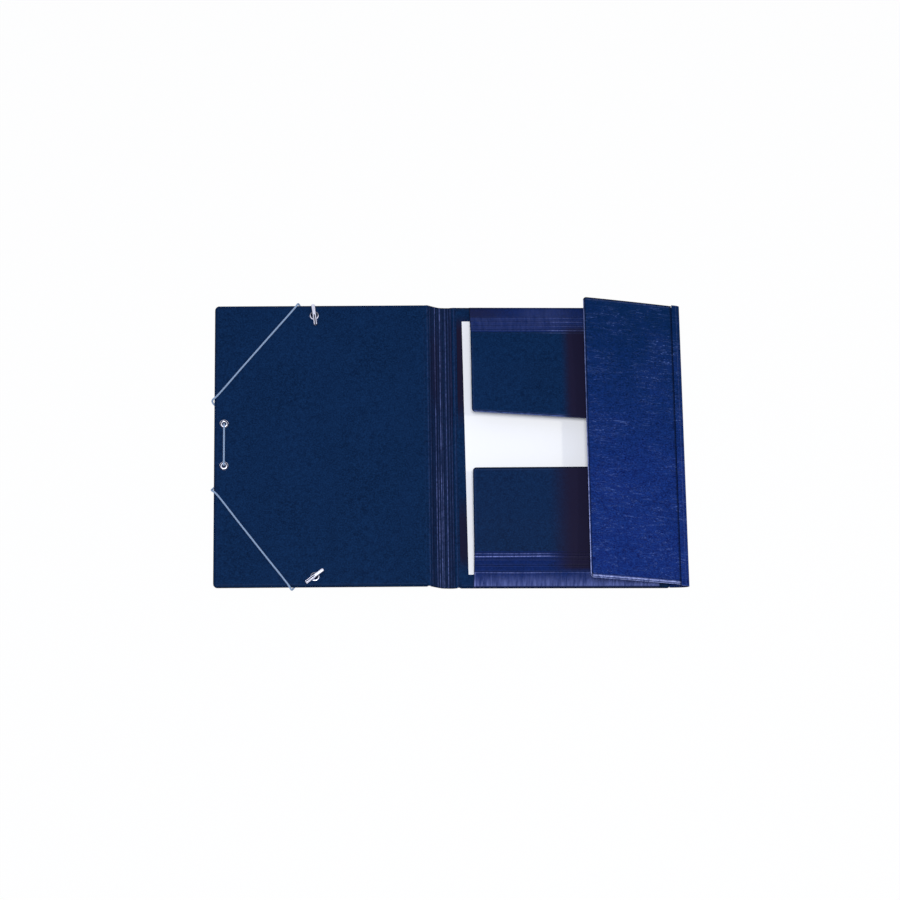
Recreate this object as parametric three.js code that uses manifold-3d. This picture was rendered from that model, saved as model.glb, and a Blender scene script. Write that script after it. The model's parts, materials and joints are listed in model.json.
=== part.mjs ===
// A document folder lying open: a front cover, a creased spine and a back cover that carries
// three sprung flaps over a stack of paper, with an elastic cord laced through the front cover.
// Millimetres, +Z up. X runs across the open folder, Y along its height.
import * as THREE from "three";
import { mergeVertices } from "three/addons/utils/BufferGeometryUtils.js";
import Module from "manifold-3d";

const wasm = await Module();
wasm.setup();

// Covers: a skin with a raised welded rim holds a board and a lining
const coverHeight = 330;
const frontWidth = 238;
const backWidth = 235;
const coverCorner = 5;
const skinThickness = 0.5;
const boardThickness = 1.2;
const liningThickness = 0.4;
const layerGap = 0.2;
const rimWidth = 2.2;
const fitGap = 0.3;
const coverThickness = skinThickness + boardThickness + liningThickness + 2 * layerGap;

// Spine: a thin sheet that sags to the table between the covers
const spineWidth = 30;
const spineThickness = 0.8;
const spineCreasePitch = 6.1;
const spineCreaseCount = 3;
const frontHingeHeight = 10.3;

// Creases and weld beads of every folded sheet
const creaseHalfWidth = 0.7;
const creaseDepth = 0.3;
const beadInset = 1.3;
const beadWidth = 1.1;
const beadHeight = 0.25;
const flapCorner = 4;

// Top and bottom flaps: a creased gusset that springs up from the cover's edge, then a panel
const flapThickness = 0.8;
const flapLeftMargin = 17.8;
const flapRightMargin = 12.8;
const flapWallRise = 8;
const flapWallRun = 15.75;
const flapCreaseCount = 4;
const flapCreaseRun = 6.2;
const flapCreaseRise = 3.4;
const flapPanelRun = 98;
const flapPanelRise = 3.9;
const topFlapSlant = 12.5;
const bottomFlapSlant = 1.5;
const tuckedShare = 0.5;
const tuckStart = 0.62;

// Side flap: a gusset that bulges past the cover's edge, a groove, then a panel that slopes up
const sidePanelInset = 1.25;
const sideThickness = 1.2;
const sideBulge = 18.6;
const grooveReach = 10.5;
const grooveHeight = 11.9;
const sidePanelRun = 101.8;
const sidePanelRise = 28.6;

// Paper stack
const paperThickness = 1;
const paperLeftMargin = 11;
const paperRightMargin = 14;
const paperEndMargin = 16.5;
const paperTurn = 0.56;

// Eyelets and their washers, set in from the cover's edges
const eyeletBore = 2.1;
const eyeletBarrel = 3;
const eyeletFlange = 4.8;
const eyeletFlangeThickness = 0.4;
const eyeletRim = 4;
const eyeletRimHeight = 0.6;
const washerRadius = 5;
const washerThickness = 0.5;
const seatGap = 0.1;
const edgeEyeletInset = 11;
const edgeEyeletSpacing = 49.2;
const endEyeletInset = 12;
const endEyeletReach = 126.7;

// Elastic cord and the metal bars crimped on its two ends
const cordRadius = 1.05;
const cordSides = 8;
const barLength = 25;
const barRadius = 2.2;
const barWall = 0.6;
const barSlot = 2;
const edgeWrap = 54;
const topBarTurn = 97;
const bottomBarTurn = 37;

// Heights that the pieces share
const footHeight = coverThickness + seatGap;
const eyeletTop = seatGap + washerThickness + seatGap + eyeletRimHeight;
const barHeight = eyeletTop + fitGap / 2 + barRadius;
const cordDrop = coverThickness + seatGap + eyeletFlangeThickness + seatGap + cordRadius;
const halfHeight = coverHeight / 2;
const sideHalf = halfHeight - sidePanelInset;
const paperWidth = backWidth - paperLeftMargin - paperRightMargin;
const paperHeight = coverHeight - 2 * paperEndMargin;
const frontTilt = Math.asin((frontHingeHeight - cordDrop - cordRadius - seatGap) / frontWidth);

const outerPvc = { color: 0x1c2140, roughness: 0.5, metalness: 0 };
const innerPvc = { color: 0x191c38, roughness: 0.6, metalness: 0 };
const glossPvc = { color: 0x1d2558, roughness: 0.35, metalness: 0 };
const board = { color: 0x8d8574, roughness: 0.9, metalness: 0 };
const paper = { color: 0xf4f3f6, roughness: 0.85, metalness: 0 };
const elastic = { color: 0x8e97a8, roughness: 0.75, metalness: 0 };
const nickel = { color: 0xc4c1cc, roughness: 0.3, metalness: 1 };

// A closed geometry as a solid that can be joined and cut
function toSolid(geometry) {
  const bare = geometry.clone();
  bare.deleteAttribute("normal");
  bare.deleteAttribute("uv");
  const merged = mergeVertices(bare, 1e-4);
  const vertProperties = merged.attributes.position.array;
  const triVerts = new Uint32Array(merged.index.array);
  return new wasm.Manifold(new wasm.Mesh({ numProp: 3, vertProperties, triVerts }));
}

function toGeometry(solid) {
  const mesh = solid.getMesh();
  const geometry = new THREE.BufferGeometry();
  geometry.setAttribute("position", new THREE.BufferAttribute(mesh.vertProperties, 3));
  geometry.setIndex(new THREE.BufferAttribute(mesh.triVerts, 1));
  geometry.computeVertexNormals();
  return geometry;
}

function makeMesh(name, shape, look) {
  const geometry = shape instanceof THREE.BufferGeometry ? shape : toGeometry(shape);
  const mesh = new THREE.Mesh(geometry, new THREE.MeshStandardMaterial(look));
  mesh.name = name;
  return mesh;
}

// A straight prism between two heights over a flat outline
function prism(outline, low, high) {
  const geometry = new THREE.ExtrudeGeometry(outline, {
    depth: high - low,
    bevelEnabled: false,
    curveSegments: 6,
  });
  return toSolid(geometry.translate(0, 0, low));
}

// A closed outline through the corners, each turned with its own radius
function roundedOutline(corners) {
  const outline = new THREE.Shape();
  corners.forEach(([x, y, radius], i) => {
    const corner = new THREE.Vector2(x, y);
    const last = corners.at(i - 1);
    const next = corners[(i + 1) % corners.length];
    const toLast = new THREE.Vector2(last[0], last[1]).sub(corner).normalize();
    const toNext = new THREE.Vector2(next[0], next[1]).sub(corner).normalize();
    const start = corner.clone().addScaledVector(toLast, radius);
    const end = corner.clone().addScaledVector(toNext, radius);
    if (i === 0) outline.moveTo(start.x, start.y);
    else outline.lineTo(start.x, start.y);
    if (radius > 0) outline.quadraticCurveTo(x, y, end.x, end.y);
  });
  outline.closePath();
  return outline;
}

function rectangle(x0, x1, halfSpan, radius) {
  return roundedOutline([
    [x0, -halfSpan, radius],
    [x1, -halfSpan, radius],
    [x1, halfSpan, radius],
    [x0, halfSpan, radius],
  ]);
}

// A sheet's cross-section about a folded line, thinned by a notch at each crease and raised on top
function sheetSection(line, creases, thickness, raised = 0) {
  const points = line.map(([a, b]) => new THREE.Vector2(a, b));
  const upper = [];
  const lower = [];
  const leftOf = (way) => new THREE.Vector2(-way.y, way.x);
  const put = (point, normal, notch) => {
    upper.push(point.clone().addScaledVector(normal, thickness / 2 + raised - notch));
    lower.unshift(point.clone().addScaledVector(normal, -thickness / 2));
  };
  points.forEach((point, i) => {
    const next = points[Math.min(i + 1, points.length - 1)];
    const last = points[Math.max(i - 1, 0)];
    const ahead = (next === point ? point.clone().sub(last) : next.clone().sub(point)).normalize();
    const behind = (last === point ? next.clone().sub(point) : point.clone().sub(last)).normalize();
    const middle = leftOf(ahead.clone().add(behind).normalize());
    if (!creases.includes(i)) {
      put(point, middle, 0);
      return;
    }
    put(point.clone().addScaledVector(behind, -creaseHalfWidth), leftOf(behind), 0);
    put(point, middle, creaseDepth);
    put(point.clone().addScaledVector(ahead, creaseHalfWidth), leftOf(ahead), 0);
  });
  return [...upper, ...lower];
}

// A closed skin through rings of points, capped at both ends
function loft(sections) {
  const clockwise = THREE.ShapeUtils.isClockWise(sections[0].map((point) => point.plan));
  const rings = clockwise ? sections.map((ring) => ring.toReversed()) : sections;
  const count = rings[0].length;
  const positions = rings.flat().flatMap((point) => [point.x, point.y, point.z]);
  const index = [];
  for (let ring = 0; ring < rings.length - 1; ring += 1) {
    for (let i = 0; i < count; i += 1) {
      const a = ring * count + i;
      const b = ring * count + ((i + 1) % count);
      index.push(a, b, a + count, b, b + count, a + count);
    }
  }
  const flat = rings[0].map((point) => point.plan);
  const end = (rings.length - 1) * count;
  for (const [a, b, c] of THREE.ShapeUtils.triangulateShape(flat, [])) {
    index.push(c, b, a);
    index.push(end + a, end + b, end + c);
  }
  const geometry = new THREE.BufferGeometry();
  geometry.setAttribute("position", new THREE.Float32BufferAttribute(positions, 3));
  geometry.setIndex(index);
  const solid = toSolid(geometry);
  if (solid.volume() > 0) return solid;
  for (let i = 0; i < index.length; i += 3) [index[i], index[i + 1]] = [index[i + 1], index[i]];
  geometry.setIndex(index);
  return toSolid(geometry);
}

// Stands a section in space: place(a, b) gives the point for the section's two coordinates
function ringOf(section, place) {
  return section.map((point) => {
    const [x, y, z] = place(point.x, point.y);
    return { x, y, z, plan: point };
  });
}

// A sheet trimmed to its outline, with a weld bead that runs inside the outline
function beadedSheet(sheet, thickSheet, outlineAt, low, high) {
  const panel = sheet.intersect(prism(outlineAt(0), low, high));
  const outerEdge = prism(outlineAt(beadInset), low, high);
  const innerEdge = prism(outlineAt(beadInset + beadWidth), low - 1, high + 1);
  return panel.add(thickSheet.intersect(outerEdge.subtract(innerEdge)));
}

// Covers
function coverLayers(x0, x1, holes) {
  const drill = (solid) => holes.reduce((left, hole) => left.subtract(hole), solid);
  const inset = rimWidth + fitGap;
  const inside = coverCorner - rimWidth;
  const boardTop = skinThickness + layerGap + boardThickness;
  const tray = prism(rectangle(x0, x1, halfHeight, coverCorner), 0, coverThickness);
  const well = rectangle(x0 + rimWidth, x1 - rimWidth, halfHeight - rimWidth, inside);
  const fill = rectangle(x0 + inset, x1 - inset, halfHeight - inset, inside);
  return {
    skin: drill(tray.subtract(prism(well, skinThickness, coverThickness + 1))),
    board: drill(prism(fill, skinThickness + layerGap, boardTop)),
    lining: drill(prism(fill, boardTop + layerGap, coverThickness)),
  };
}

function eyeletHole([x, y]) {
  const hole = new THREE.CylinderGeometry(eyeletBarrel + fitGap, eyeletBarrel + fitGap, 8, 24);
  return toSolid(hole.rotateX(Math.PI / 2).translate(x, y, coverThickness / 2));
}

// Spine
function spineSheet() {
  const valley = spineThickness / 2;
  const end = -fitGap / 2;
  const firstCrease = -spineCreasePitch * spineCreaseCount + 1;
  const line = [
    [-spineWidth - end, frontHingeHeight - fitGap - spineThickness / 2],
    [(firstCrease - spineWidth) / 2, (frontHingeHeight + valley) / 2],
    [firstCrease, valley + 0.9],
    [firstCrease + spineCreasePitch, valley],
    [firstCrease + 2 * spineCreasePitch, valley],
    [end, coverThickness - fitGap - spineThickness / 2],
  ];
  const section = sheetSection(line, [2, 3, 4], spineThickness);
  const ends = [-halfHeight, halfHeight];
  return loft(ends.map((y) => ringOf(section, (a, b) => [a, y, b])));
}

// Top and bottom flaps, lower where they tuck under the side flap
function flapLine(share) {
  const foot = footHeight + flapThickness / 2;
  const line = [[rimWidth / 4, foot], [rimWidth * 1.5, foot + 0.4]];
  for (let crease = 0; crease < flapCreaseCount; crease += 1) {
    const run = flapWallRun + crease * flapCreaseRun;
    line.push([run, foot + (flapWallRise + crease * flapCreaseRise) * share]);
  }
  const [run, rise] = line.at(-1);
  line.push([run + flapPanelRun * 0.4, rise + flapPanelRise * 0.62 * share]);
  line.push([run + flapPanelRun + topFlapSlant + 2, rise + flapPanelRise * share]);
  return line;
}

function flapShare(along) {
  const sink = THREE.MathUtils.smoothstep(along, tuckStart, 1);
  return 1 - sink * (1 - tuckedShare);
}

function edgeFlap(side, slant) {
  const left = flapLeftMargin;
  const right = backWidth - flapRightMargin;
  const reach = flapWallRun + (flapCreaseCount - 1) * flapCreaseRun + flapPanelRun;
  const creases = Array.from({ length: flapCreaseCount }, (_, i) => i + 2);
  const steps = [-0.02, 0.3, 0.62, 0.7, 0.78, 0.86, 0.94, 1.02];
  const sheet = (raised) => loft(steps.map((along) => {
    const line = flapLine(flapShare(along));
    const section = sheetSection(line, creases, flapThickness, raised);
    const x = left + along * (right - left);
    return ringOf(section, (a, b) => [x, side * (halfHeight - a), b]);
  }));
  const outlineAt = (inset) => {
    const free = (at) => side * (halfHeight - reach - slant * at + inset);
    const corners = [
      [left + inset, side * (halfHeight + 1), 0],
      [left + inset, free(0), flapCorner],
      [right - inset, free(1), flapCorner],
      [right - inset, side * (halfHeight + 1), 0],
    ];
    return roundedOutline(side > 0 ? corners : corners.reverse());
  };
  return beadedSheet(sheet(0), sheet(beadHeight), outlineAt, 0, 60);
}

// Side flap and its gusset, which meet at a groove
function sideGusset() {
  const foot = footHeight + flapThickness / 2;
  const edge = backWidth;
  const top = grooveHeight - fitGap - flapThickness / 2;
  const line = [
    [edge - rimWidth * 0.75, foot],
    [edge + 3, foot + 0.1],
    [edge + sideBulge * 0.45, foot + 0.4],
    [edge + sideBulge * 0.8, foot + 1.5],
    [edge + sideBulge, (foot + top) / 2],
    [edge + sideBulge * 0.82, top - 1.6],
    [edge + grooveReach + fitGap, top],
  ];
  const section = sheetSection(line, [2, 3, 5], flapThickness);
  const ends = [-halfHeight, halfHeight];
  return loft(ends.map((y) => ringOf(section, (a, b) => [a, y, b])));
}

function sidePanel() {
  const line = (lift) => [
    [-fitGap / 2, lift],
    [-sidePanelRun * 0.35, sidePanelRise * 0.37 + lift],
    [-sidePanelRun * 0.7, sidePanelRise * 0.72 + lift],
    [-sidePanelRun - 2, sidePanelRise + lift + 0.5],
  ];
  const ends = [-halfHeight - 2, halfHeight + 2];
  const sheet = (raised) => {
    const section = sheetSection(line(-sideThickness / 2), [], sideThickness, raised);
    return loft(ends.map((y) => ringOf(section, (a, b) => [a, y, b])));
  };
  const outlineAt = (inset) => roundedOutline([
    [-sidePanelRun + inset, -sideHalf + inset, flapCorner],
    [-fitGap / 2 - inset, -sideHalf + inset, flapCorner / 2],
    [-fitGap / 2 - inset, sideHalf - inset, flapCorner / 2],
    [-sidePanelRun + inset, sideHalf - inset, flapCorner],
  ]);
  return beadedSheet(sheet(0), sheet(beadHeight), outlineAt, -10, 60);
}

// Eyelets and washers
function lathe(profile, segments) {
  const points = profile.map(([radius, height]) => new THREE.Vector2(radius, height));
  return new THREE.LatheGeometry([...points, points[0]], segments).rotateX(Math.PI / 2);
}

function eyelet() {
  const low = -coverThickness - seatGap - eyeletFlangeThickness;
  const rimLow = eyeletTop - eyeletRimHeight;
  return lathe([
    [eyeletBore, low + 0.2],
    [eyeletBore + 0.3, low],
    [eyeletFlange, low],
    [eyeletFlange, low + eyeletFlangeThickness],
    [eyeletBarrel, low + eyeletFlangeThickness],
    [eyeletBarrel, rimLow],
    [eyeletRim, rimLow],
    [eyeletRim, rimLow + eyeletRimHeight * 0.5],
    [eyeletRim - 0.5, eyeletTop],
    [eyeletBore + 0.5, eyeletTop],
    [eyeletBore, eyeletTop - 0.4],
  ], 20);
}

function washer() {
  const bore = eyeletBarrel + fitGap;
  return lathe([
    [bore, seatGap],
    [washerRadius, seatGap],
    [washerRadius, seatGap + washerThickness * 0.5],
    [washerRadius - 0.5, seatGap + washerThickness],
    [bore, seatGap + washerThickness],
  ], 20);
}

// A rolled bar: one half a closed tube with a round end, the other an open channel
function endBar() {
  const half = barLength / 2;
  const inner = barRadius - barWall;
  const profile = [[0, half], [barRadius * 0.6, half - 0.4], [barRadius, half - 1.6]];
  profile.push([barRadius, -half], [inner, -half], [inner, half - 2.2], [0, half - 1.4]);
  const turned = profile.reverse().map(([radius, along]) => new THREE.Vector2(radius, along));
  const tube = toSolid(new THREE.LatheGeometry(turned, 16));
  const slot = new THREE.BoxGeometry(barSlot, half + 1, barRadius * 2);
  slot.translate(0, -half / 2 - 0.5 - fitGap, barRadius + 0.2);
  const entry = new THREE.BoxGeometry(inner * 2 + 0.2, inner * 2 + 1.6, barRadius * 2);
  entry.translate(0, 0.6, -barRadius - 0.2);
  return tube.subtract(toSolid(slot)).subtract(toSolid(entry));
}

// Elastic cord: one length laced from bar to bar, wrapped round the cover's edges
function elasticCord(barWays) {
  const over = cordRadius + 0.25;
  const under = -cordDrop;
  const above = eyeletTop + cordRadius + 0.15;
  const edgeX = -frontWidth;
  const leftX = edgeX + edgeEyeletInset;
  const leftY = edgeEyeletSpacing / 2;
  const endX = -endEyeletReach;
  const endY = halfHeight - endEyeletInset;
  const midZ = -coverThickness / 2;
  const [topWay, bottomWay] = barWays;
  const straight = ([x0, y0], [x1, y1], z) => [1, 2].map((part) => {
    const share = part / 3;
    return [x0 + (x1 - x0) * share, y0 + (y1 - y0) * share, z];
  });
  const inBar = (way, side, along, z) => [endX + way[0] * along, side * endY + way[1] * along, z];
  const route = [
    inBar(topWay, 1, 8.5, barHeight),
    inBar(topWay, 1, 5.5, barHeight),
    inBar(topWay, 1, 2.6, barHeight - 0.1),
    inBar(topWay, 1, 0.8, barHeight - 1),
    [endX, endY, eyeletTop - 0.4],
    [endX, endY, midZ],
    [endX - 0.2, endY + 0.1, under + 1.3],
    [endX - 1.8, endY + 1.2, under + 0.1],
    [endX - 8, endY + 5, under],
    [endX - 14.4, halfHeight - 1.8, under],
    [endX - 16.6, halfHeight + 1.4, under + 0.8],
    [endX - 17.6, halfHeight + 2.4, midZ],
    [endX - 18.6, halfHeight + 1.5, over - 0.45],
    [endX - 20.8, halfHeight - 1.8, over],
    ...straight([endX - 20.8, halfHeight - 1.8], [edgeX + 2, edgeWrap + 2.4], over),
    [edgeX + 2, edgeWrap + 2.4, over],
    [edgeX - 1.4, edgeWrap - 0.4, over - 0.45],
    [edgeX - 2.4, edgeWrap - 2, midZ],
    [edgeX - 1.5, edgeWrap - 3.6, under + 0.8],
    [edgeX + 1.6, edgeWrap - 7.4, under],
    [leftX - 3, leftY + 6, under],
    [leftX - 0.8, leftY + 1.7, under + 0.1],
    [leftX, leftY, under + 1.5],
    [leftX, leftY, midZ],
    [leftX, leftY, eyeletTop - 0.4],
    [leftX, leftY - 0.9, above - 0.35],
    [leftX, leftY - 3, above],
    [leftX, leftY / 3, above],
    [leftX, -leftY / 3, above],
    [leftX, 3 - leftY, above],
    [leftX, 0.9 - leftY, above - 0.35],
    [leftX, -leftY, eyeletTop - 0.4],
    [leftX, -leftY, midZ],
    [leftX, -leftY, under + 1.5],
    [leftX - 0.8, -leftY - 1.7, under + 0.1],
    [leftX - 3, -leftY - 6, under],
    [edgeX + 1.6, 7.4 - edgeWrap, under],
    [edgeX - 1.5, 3.6 - edgeWrap, under + 0.8],
    [edgeX - 2.4, 2 - edgeWrap, midZ],
    [edgeX - 1.4, 0.4 - edgeWrap, over - 0.45],
    [edgeX + 2, -edgeWrap - 2.4, over],
    ...straight([edgeX + 2, -edgeWrap - 2.4], [endX - 28.6, 1.8 - halfHeight], over),
    [endX - 28.6, 1.8 - halfHeight, over],
    [endX - 26.6, -halfHeight - 1.5, over - 0.45],
    [endX - 25.6, -halfHeight - 2.4, midZ],
    [endX - 24.4, -halfHeight - 1.4, under + 0.8],
    [endX - 21.8, 1.8 - halfHeight, under],
    [endX - 10, -endY - 4.6, under],
    [endX - 1.9, -endY - 1, under + 0.1],
    [endX - 0.2, -endY - 0.1, under + 1.3],
    [endX, -endY, midZ],
    [endX, -endY, eyeletTop - 0.4],
    inBar(bottomWay, -1, 0.8, barHeight - 1),
    inBar(bottomWay, -1, 2.6, barHeight - 0.1),
    inBar(bottomWay, -1, 5.5, barHeight),
    inBar(bottomWay, -1, 8.5, barHeight),
  ];
  const path = new THREE.CatmullRomCurve3(route.map((point) => new THREE.Vector3(...point)));
  path.getUtoTmapping = (share) => share;
  const round = new THREE.Shape();
  for (let i = 0; i < cordSides; i += 1) {
    const angle = (i / cordSides) * Math.PI * 2;
    const [x, y] = [cordRadius * Math.cos(angle), cordRadius * Math.sin(angle)];
    if (i === 0) round.moveTo(x, y);
    else round.lineTo(x, y);
  }
  const steps = route.length - 1;
  return new THREE.ExtrudeGeometry(round, { steps, bevelEnabled: false, extrudePath: path });
}

// Back cover with its flaps and the paper
const backCover = new THREE.Group();
const backLayers = coverLayers(0, backWidth, []);
backCover.add(makeMesh("back_outer_skin", backLayers.skin, outerPvc));
backCover.add(makeMesh("back_board", backLayers.board, board));
backCover.add(makeMesh("back_lining", backLayers.lining, innerPvc));
backCover.add(makeMesh("top_flap", edgeFlap(1, topFlapSlant), innerPvc));
backCover.add(makeMesh("bottom_flap", edgeFlap(-1, bottomFlapSlant), innerPvc));
backCover.add(makeMesh("side_gusset", sideGusset(), glossPvc));
const sheets = makeMesh("paper_sheets", new THREE.BoxGeometry(paperWidth, paperHeight, paperThickness), paper);
sheets.position.set(paperLeftMargin + paperWidth / 2, 0, coverThickness + seatGap + paperThickness / 2);
sheets.rotation.z = THREE.MathUtils.degToRad(paperTurn);
backCover.add(sheets);

const sideFlap = new THREE.Group();
sideFlap.position.set(backWidth + grooveReach, 0, grooveHeight);
sideFlap.add(makeMesh("side_flap", sidePanel(), glossPvc));

const spine = new THREE.Group();
spine.add(makeMesh("spine", spineSheet(), outerPvc));

// Front cover, in a frame whose origin is on its hinge line at the inner face
const frontCover = new THREE.Group();
frontCover.position.set(-spineWidth, 0, frontHingeHeight);
frontCover.rotation.y = -frontTilt;
const leftEyeletX = edgeEyeletInset - frontWidth;
const endEyeletY = halfHeight - endEyeletInset;
const eyelets = {
  upper_edge: [leftEyeletX, edgeEyeletSpacing / 2],
  lower_edge: [leftEyeletX, -edgeEyeletSpacing / 2],
  top_end: [-endEyeletReach, endEyeletY],
  bottom_end: [-endEyeletReach, -endEyeletY],
};
const holes = Object.values(eyelets).map(eyeletHole);
const frontLayers = coverLayers(-frontWidth, -fitGap / 2, holes);
const layerMeshes = [
  makeMesh("front_outer_skin", frontLayers.skin, outerPvc),
  makeMesh("front_board", frontLayers.board, board),
  makeMesh("front_lining", frontLayers.lining, innerPvc),
];
for (const layer of layerMeshes) {
  layer.position.z = -coverThickness;
  frontCover.add(layer);
}
for (const [place, [x, y]] of Object.entries(eyelets)) {
  const rivet = makeMesh("eyelet_" + place, eyelet(), nickel);
  const ring = makeMesh("washer_" + place, washer(), nickel);
  rivet.position.set(x, y, 0);
  ring.position.set(x, y, 0);
  frontCover.add(rivet, ring);
}
const barTurns = [topBarTurn, bottomBarTurn].map(THREE.MathUtils.degToRad);
const barWays = barTurns.map((turn) => [Math.cos(turn), Math.sin(turn)]);
const topBar = makeMesh("top_end_clip", endBar(), nickel);
topBar.position.set(-endEyeletReach, endEyeletY, barHeight);
topBar.rotation.z = barTurns[0] - Math.PI / 2;
const bottomBar = makeMesh("bottom_end_clip", endBar(), nickel);
bottomBar.position.set(-endEyeletReach, -endEyeletY, barHeight);
bottomBar.rotation.z = barTurns[1] - Math.PI / 2;
frontCover.add(topBar, bottomBar);
frontCover.add(makeMesh("elastic_cord", elasticCord(barWays), elastic));

// The folder, moved so that its origin is the middle of its footprint
const folder = new THREE.Group();
folder.add(backCover, sideFlap, spine, frontCover);
const reach = new THREE.Box3().setFromObject(folder, true);
const middle = reach.getCenter(new THREE.Vector3());
folder.position.set(-middle.x, -middle.y, -reach.min.z);

export default folder;
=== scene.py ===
import json
import math
import bpy
import numpy as np
from mathutils import Matrix, Vector


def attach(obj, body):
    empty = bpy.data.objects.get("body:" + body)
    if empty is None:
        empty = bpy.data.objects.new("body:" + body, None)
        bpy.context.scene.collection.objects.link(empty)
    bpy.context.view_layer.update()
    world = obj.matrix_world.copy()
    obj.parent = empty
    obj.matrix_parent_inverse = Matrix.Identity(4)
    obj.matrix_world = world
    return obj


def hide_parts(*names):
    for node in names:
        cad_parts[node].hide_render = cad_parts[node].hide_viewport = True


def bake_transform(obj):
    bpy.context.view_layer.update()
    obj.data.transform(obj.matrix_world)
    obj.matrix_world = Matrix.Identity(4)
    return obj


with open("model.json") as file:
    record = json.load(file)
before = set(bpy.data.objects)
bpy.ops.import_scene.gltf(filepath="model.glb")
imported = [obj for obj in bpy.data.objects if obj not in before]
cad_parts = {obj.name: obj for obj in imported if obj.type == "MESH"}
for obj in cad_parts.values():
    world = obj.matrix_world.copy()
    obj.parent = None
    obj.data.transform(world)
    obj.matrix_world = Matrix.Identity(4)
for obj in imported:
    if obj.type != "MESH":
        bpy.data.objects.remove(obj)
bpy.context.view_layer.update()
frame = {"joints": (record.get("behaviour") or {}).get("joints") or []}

MM = 0.001
rng = np.random.default_rng(7)
joints = {joint["name"]: joint for joint in frame["joints"]}

# Sizes of the folder in millimetres, angles in radians
COVER_HEIGHT = 330.0
FRONT_WIDTH = 238.0
BACK_WIDTH = 235.0
COVER_THICKNESS = 2.5
COVER_CORNER = 5.0
SPINE_WIDTH = 30.0
SPINE_THICKNESS = 0.8
HINGE_STRIP = 0.3
CREASE_PITCH = 6.1
HINGE_HEIGHT = 10.3
FLAP_THICKNESS = 0.8
FLAP_LEFT = 17.8
FLAP_RIGHT = BACK_WIDTH - 12.8
FLAP_WALL_RUN = 15.75
FLAP_WALL_RISE = 8.0
FLAP_CREASE_RUN = 6.2
FLAP_CREASE_RISE = 3.4
FLAP_PANEL_RUN = 98.0
FLAP_PANEL_RISE = 3.9
FLAP_CORNER = 4.0
TUCK_START = 0.62
TUCKED_SHARE = 0.5
SIDE_HALF = 163.75
SIDE_THICKNESS = 1.2
SIDE_BULGE = 20.2
GROOVE_REACH = 10.5
GROOVE_HEIGHT = 11.9
SIDE_RUN = 101.8
SIDE_RISE = 28.6
CORD_RADIUS = 1.05
CORD_PITCH = 0.55
CORD_SIDES = 16
BRAID_STRANDS, BRAID_LAY = 4, 3.2
EDGE_WRAP = 54.0
EYELET_TOP = 1.3
EYELET_LOW = 0.7
EYELET_BORE = 2.1
EYELET_RING = 4.0
EYELET_FLANGE = 4.8
SHANK_RADIUS = 3.0
WASHER_BORE = 3.3
WASHER_RADIUS = 5.0
BAR_RADIUS = 2.2
BAR_HALF = 12.5
BAR_WALL = 0.6
BAR_SLOT = 1.4
BAR_CHANNEL_END = -0.5
BAR_SEAM = 0.02
BAR_ARC = 40
BAR_PAINTED_SHADE = 0.85
BAR_DOME_START = 10.2
BAR_DOME = 2.3
BAR_HEIGHT = EYELET_TOP + 0.15 + BAR_RADIUS
CORD_DROP = COVER_THICKNESS + 0.6 + CORD_RADIUS
HALF = COVER_HEIGHT / 2
FRONT_TILT = math.asin((HINGE_HEIGHT - CORD_DROP - CORD_RADIUS - 0.1) / FRONT_WIDTH)
FOOT = COVER_THICKNESS + 0.1 + FLAP_THICKNESS / 2
SHOULDER = COVER_THICKNESS + 0.1
TOP_TURN, BOTTOM_TURN = math.radians(97), math.radians(37)
PAPER_WIDTH, PAPER_HEIGHT, PAPER_TURN = 210.0, 297.0, math.radians(0.56)
PAPER_LEFT = 11.0
PAPER_COUNT = 8
PAPER_SHEET = 0.11
PAPER_SHIFT, PAPER_SKEW = 0.25, 0.0004
WAVE_COUNT = 7

# Eyelets on the front cover
EYELETS = {
    "upper_edge": (11.0 - FRONT_WIDTH, 24.6),
    "lower_edge": (11.0 - FRONT_WIDTH, -24.6),
    "top_end": (-126.7, HALF - 12.0),
    "bottom_end": (-126.7, 12.0 - HALF),
}

# Drawn lines of the spine, pale from stress whitening and a painted highlight: x, and how pale each
# is at the top and at the bottom
SPINE_LINES = (
    (-26.6, 0.1, 0.16), (-20.9, 0.75, 0.5), (-18.2, 0.05, 0.75), (-15.2, 0.65, 0.5),
    (-13.4, 0.1, 0.65), (-8.8, 0.4, 0.6), (-5.6, 0.14, 0.12), (-2.8, 0.2, 0.2),
)

# How pale each crease of a flap is at its left and right, from stress whitening and a painted
# highlight; the fifth is an embossed line
TOP_CREASES = ((0.35, 0.9), (0.16, 1.0), (0.14, 0.8), (0.16, 0.9), (0.04, 0.6))
BOTTOM_CREASES = ((0.5, 0.25), (0.04, 0.02), (0.08, 0.03), (0.4, 0.03), (1.2, 0.05))

# Colours, linear
# Pale colours of wear on creases, welds and edges, partly painted highlights
PALE_WEAR_AND_HIGHLIGHT = (0.15, 0.2, 0.5)
# The walls' pale colour: mostly a painted sheen on the bottom wall, partly crease wear
WALL_WEAR_AND_SHEEN = (0.2, 0.25, 0.6)
# The side flap's pale colour: a painted highlight on its bottom bead, partly wear
SIDE_WEAR_AND_HIGHLIGHT = (0.42, 0.48, 0.86)
# A brownish painted shadow and painted shade
BROWN_SHADE = (0.0115, 0.0085, 0.026)
# Dark lines of painted shade in creases and grooves and at outlines
SHADE_LINE = (0.001, 0.003, 0.009)
UPPER_TINT = (0.0002, 0.007, 0.034)
UPPER_VEIL = (0.0004, 0.0145, 0.055)
HAZE = (0.02, 0.045, 0.25)
# Painted highlight on the ridges of wrinkles
WRINKLE_HIGHLIGHT = (0.11, 0.19, 0.52)
NICKEL = (0.77, 0.79, 0.97)
# Painted shade on the nickel, all but its painted highlights
NICKEL_PAINTED_SHADE = (0.006, 0.008, 0.025)
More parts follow.
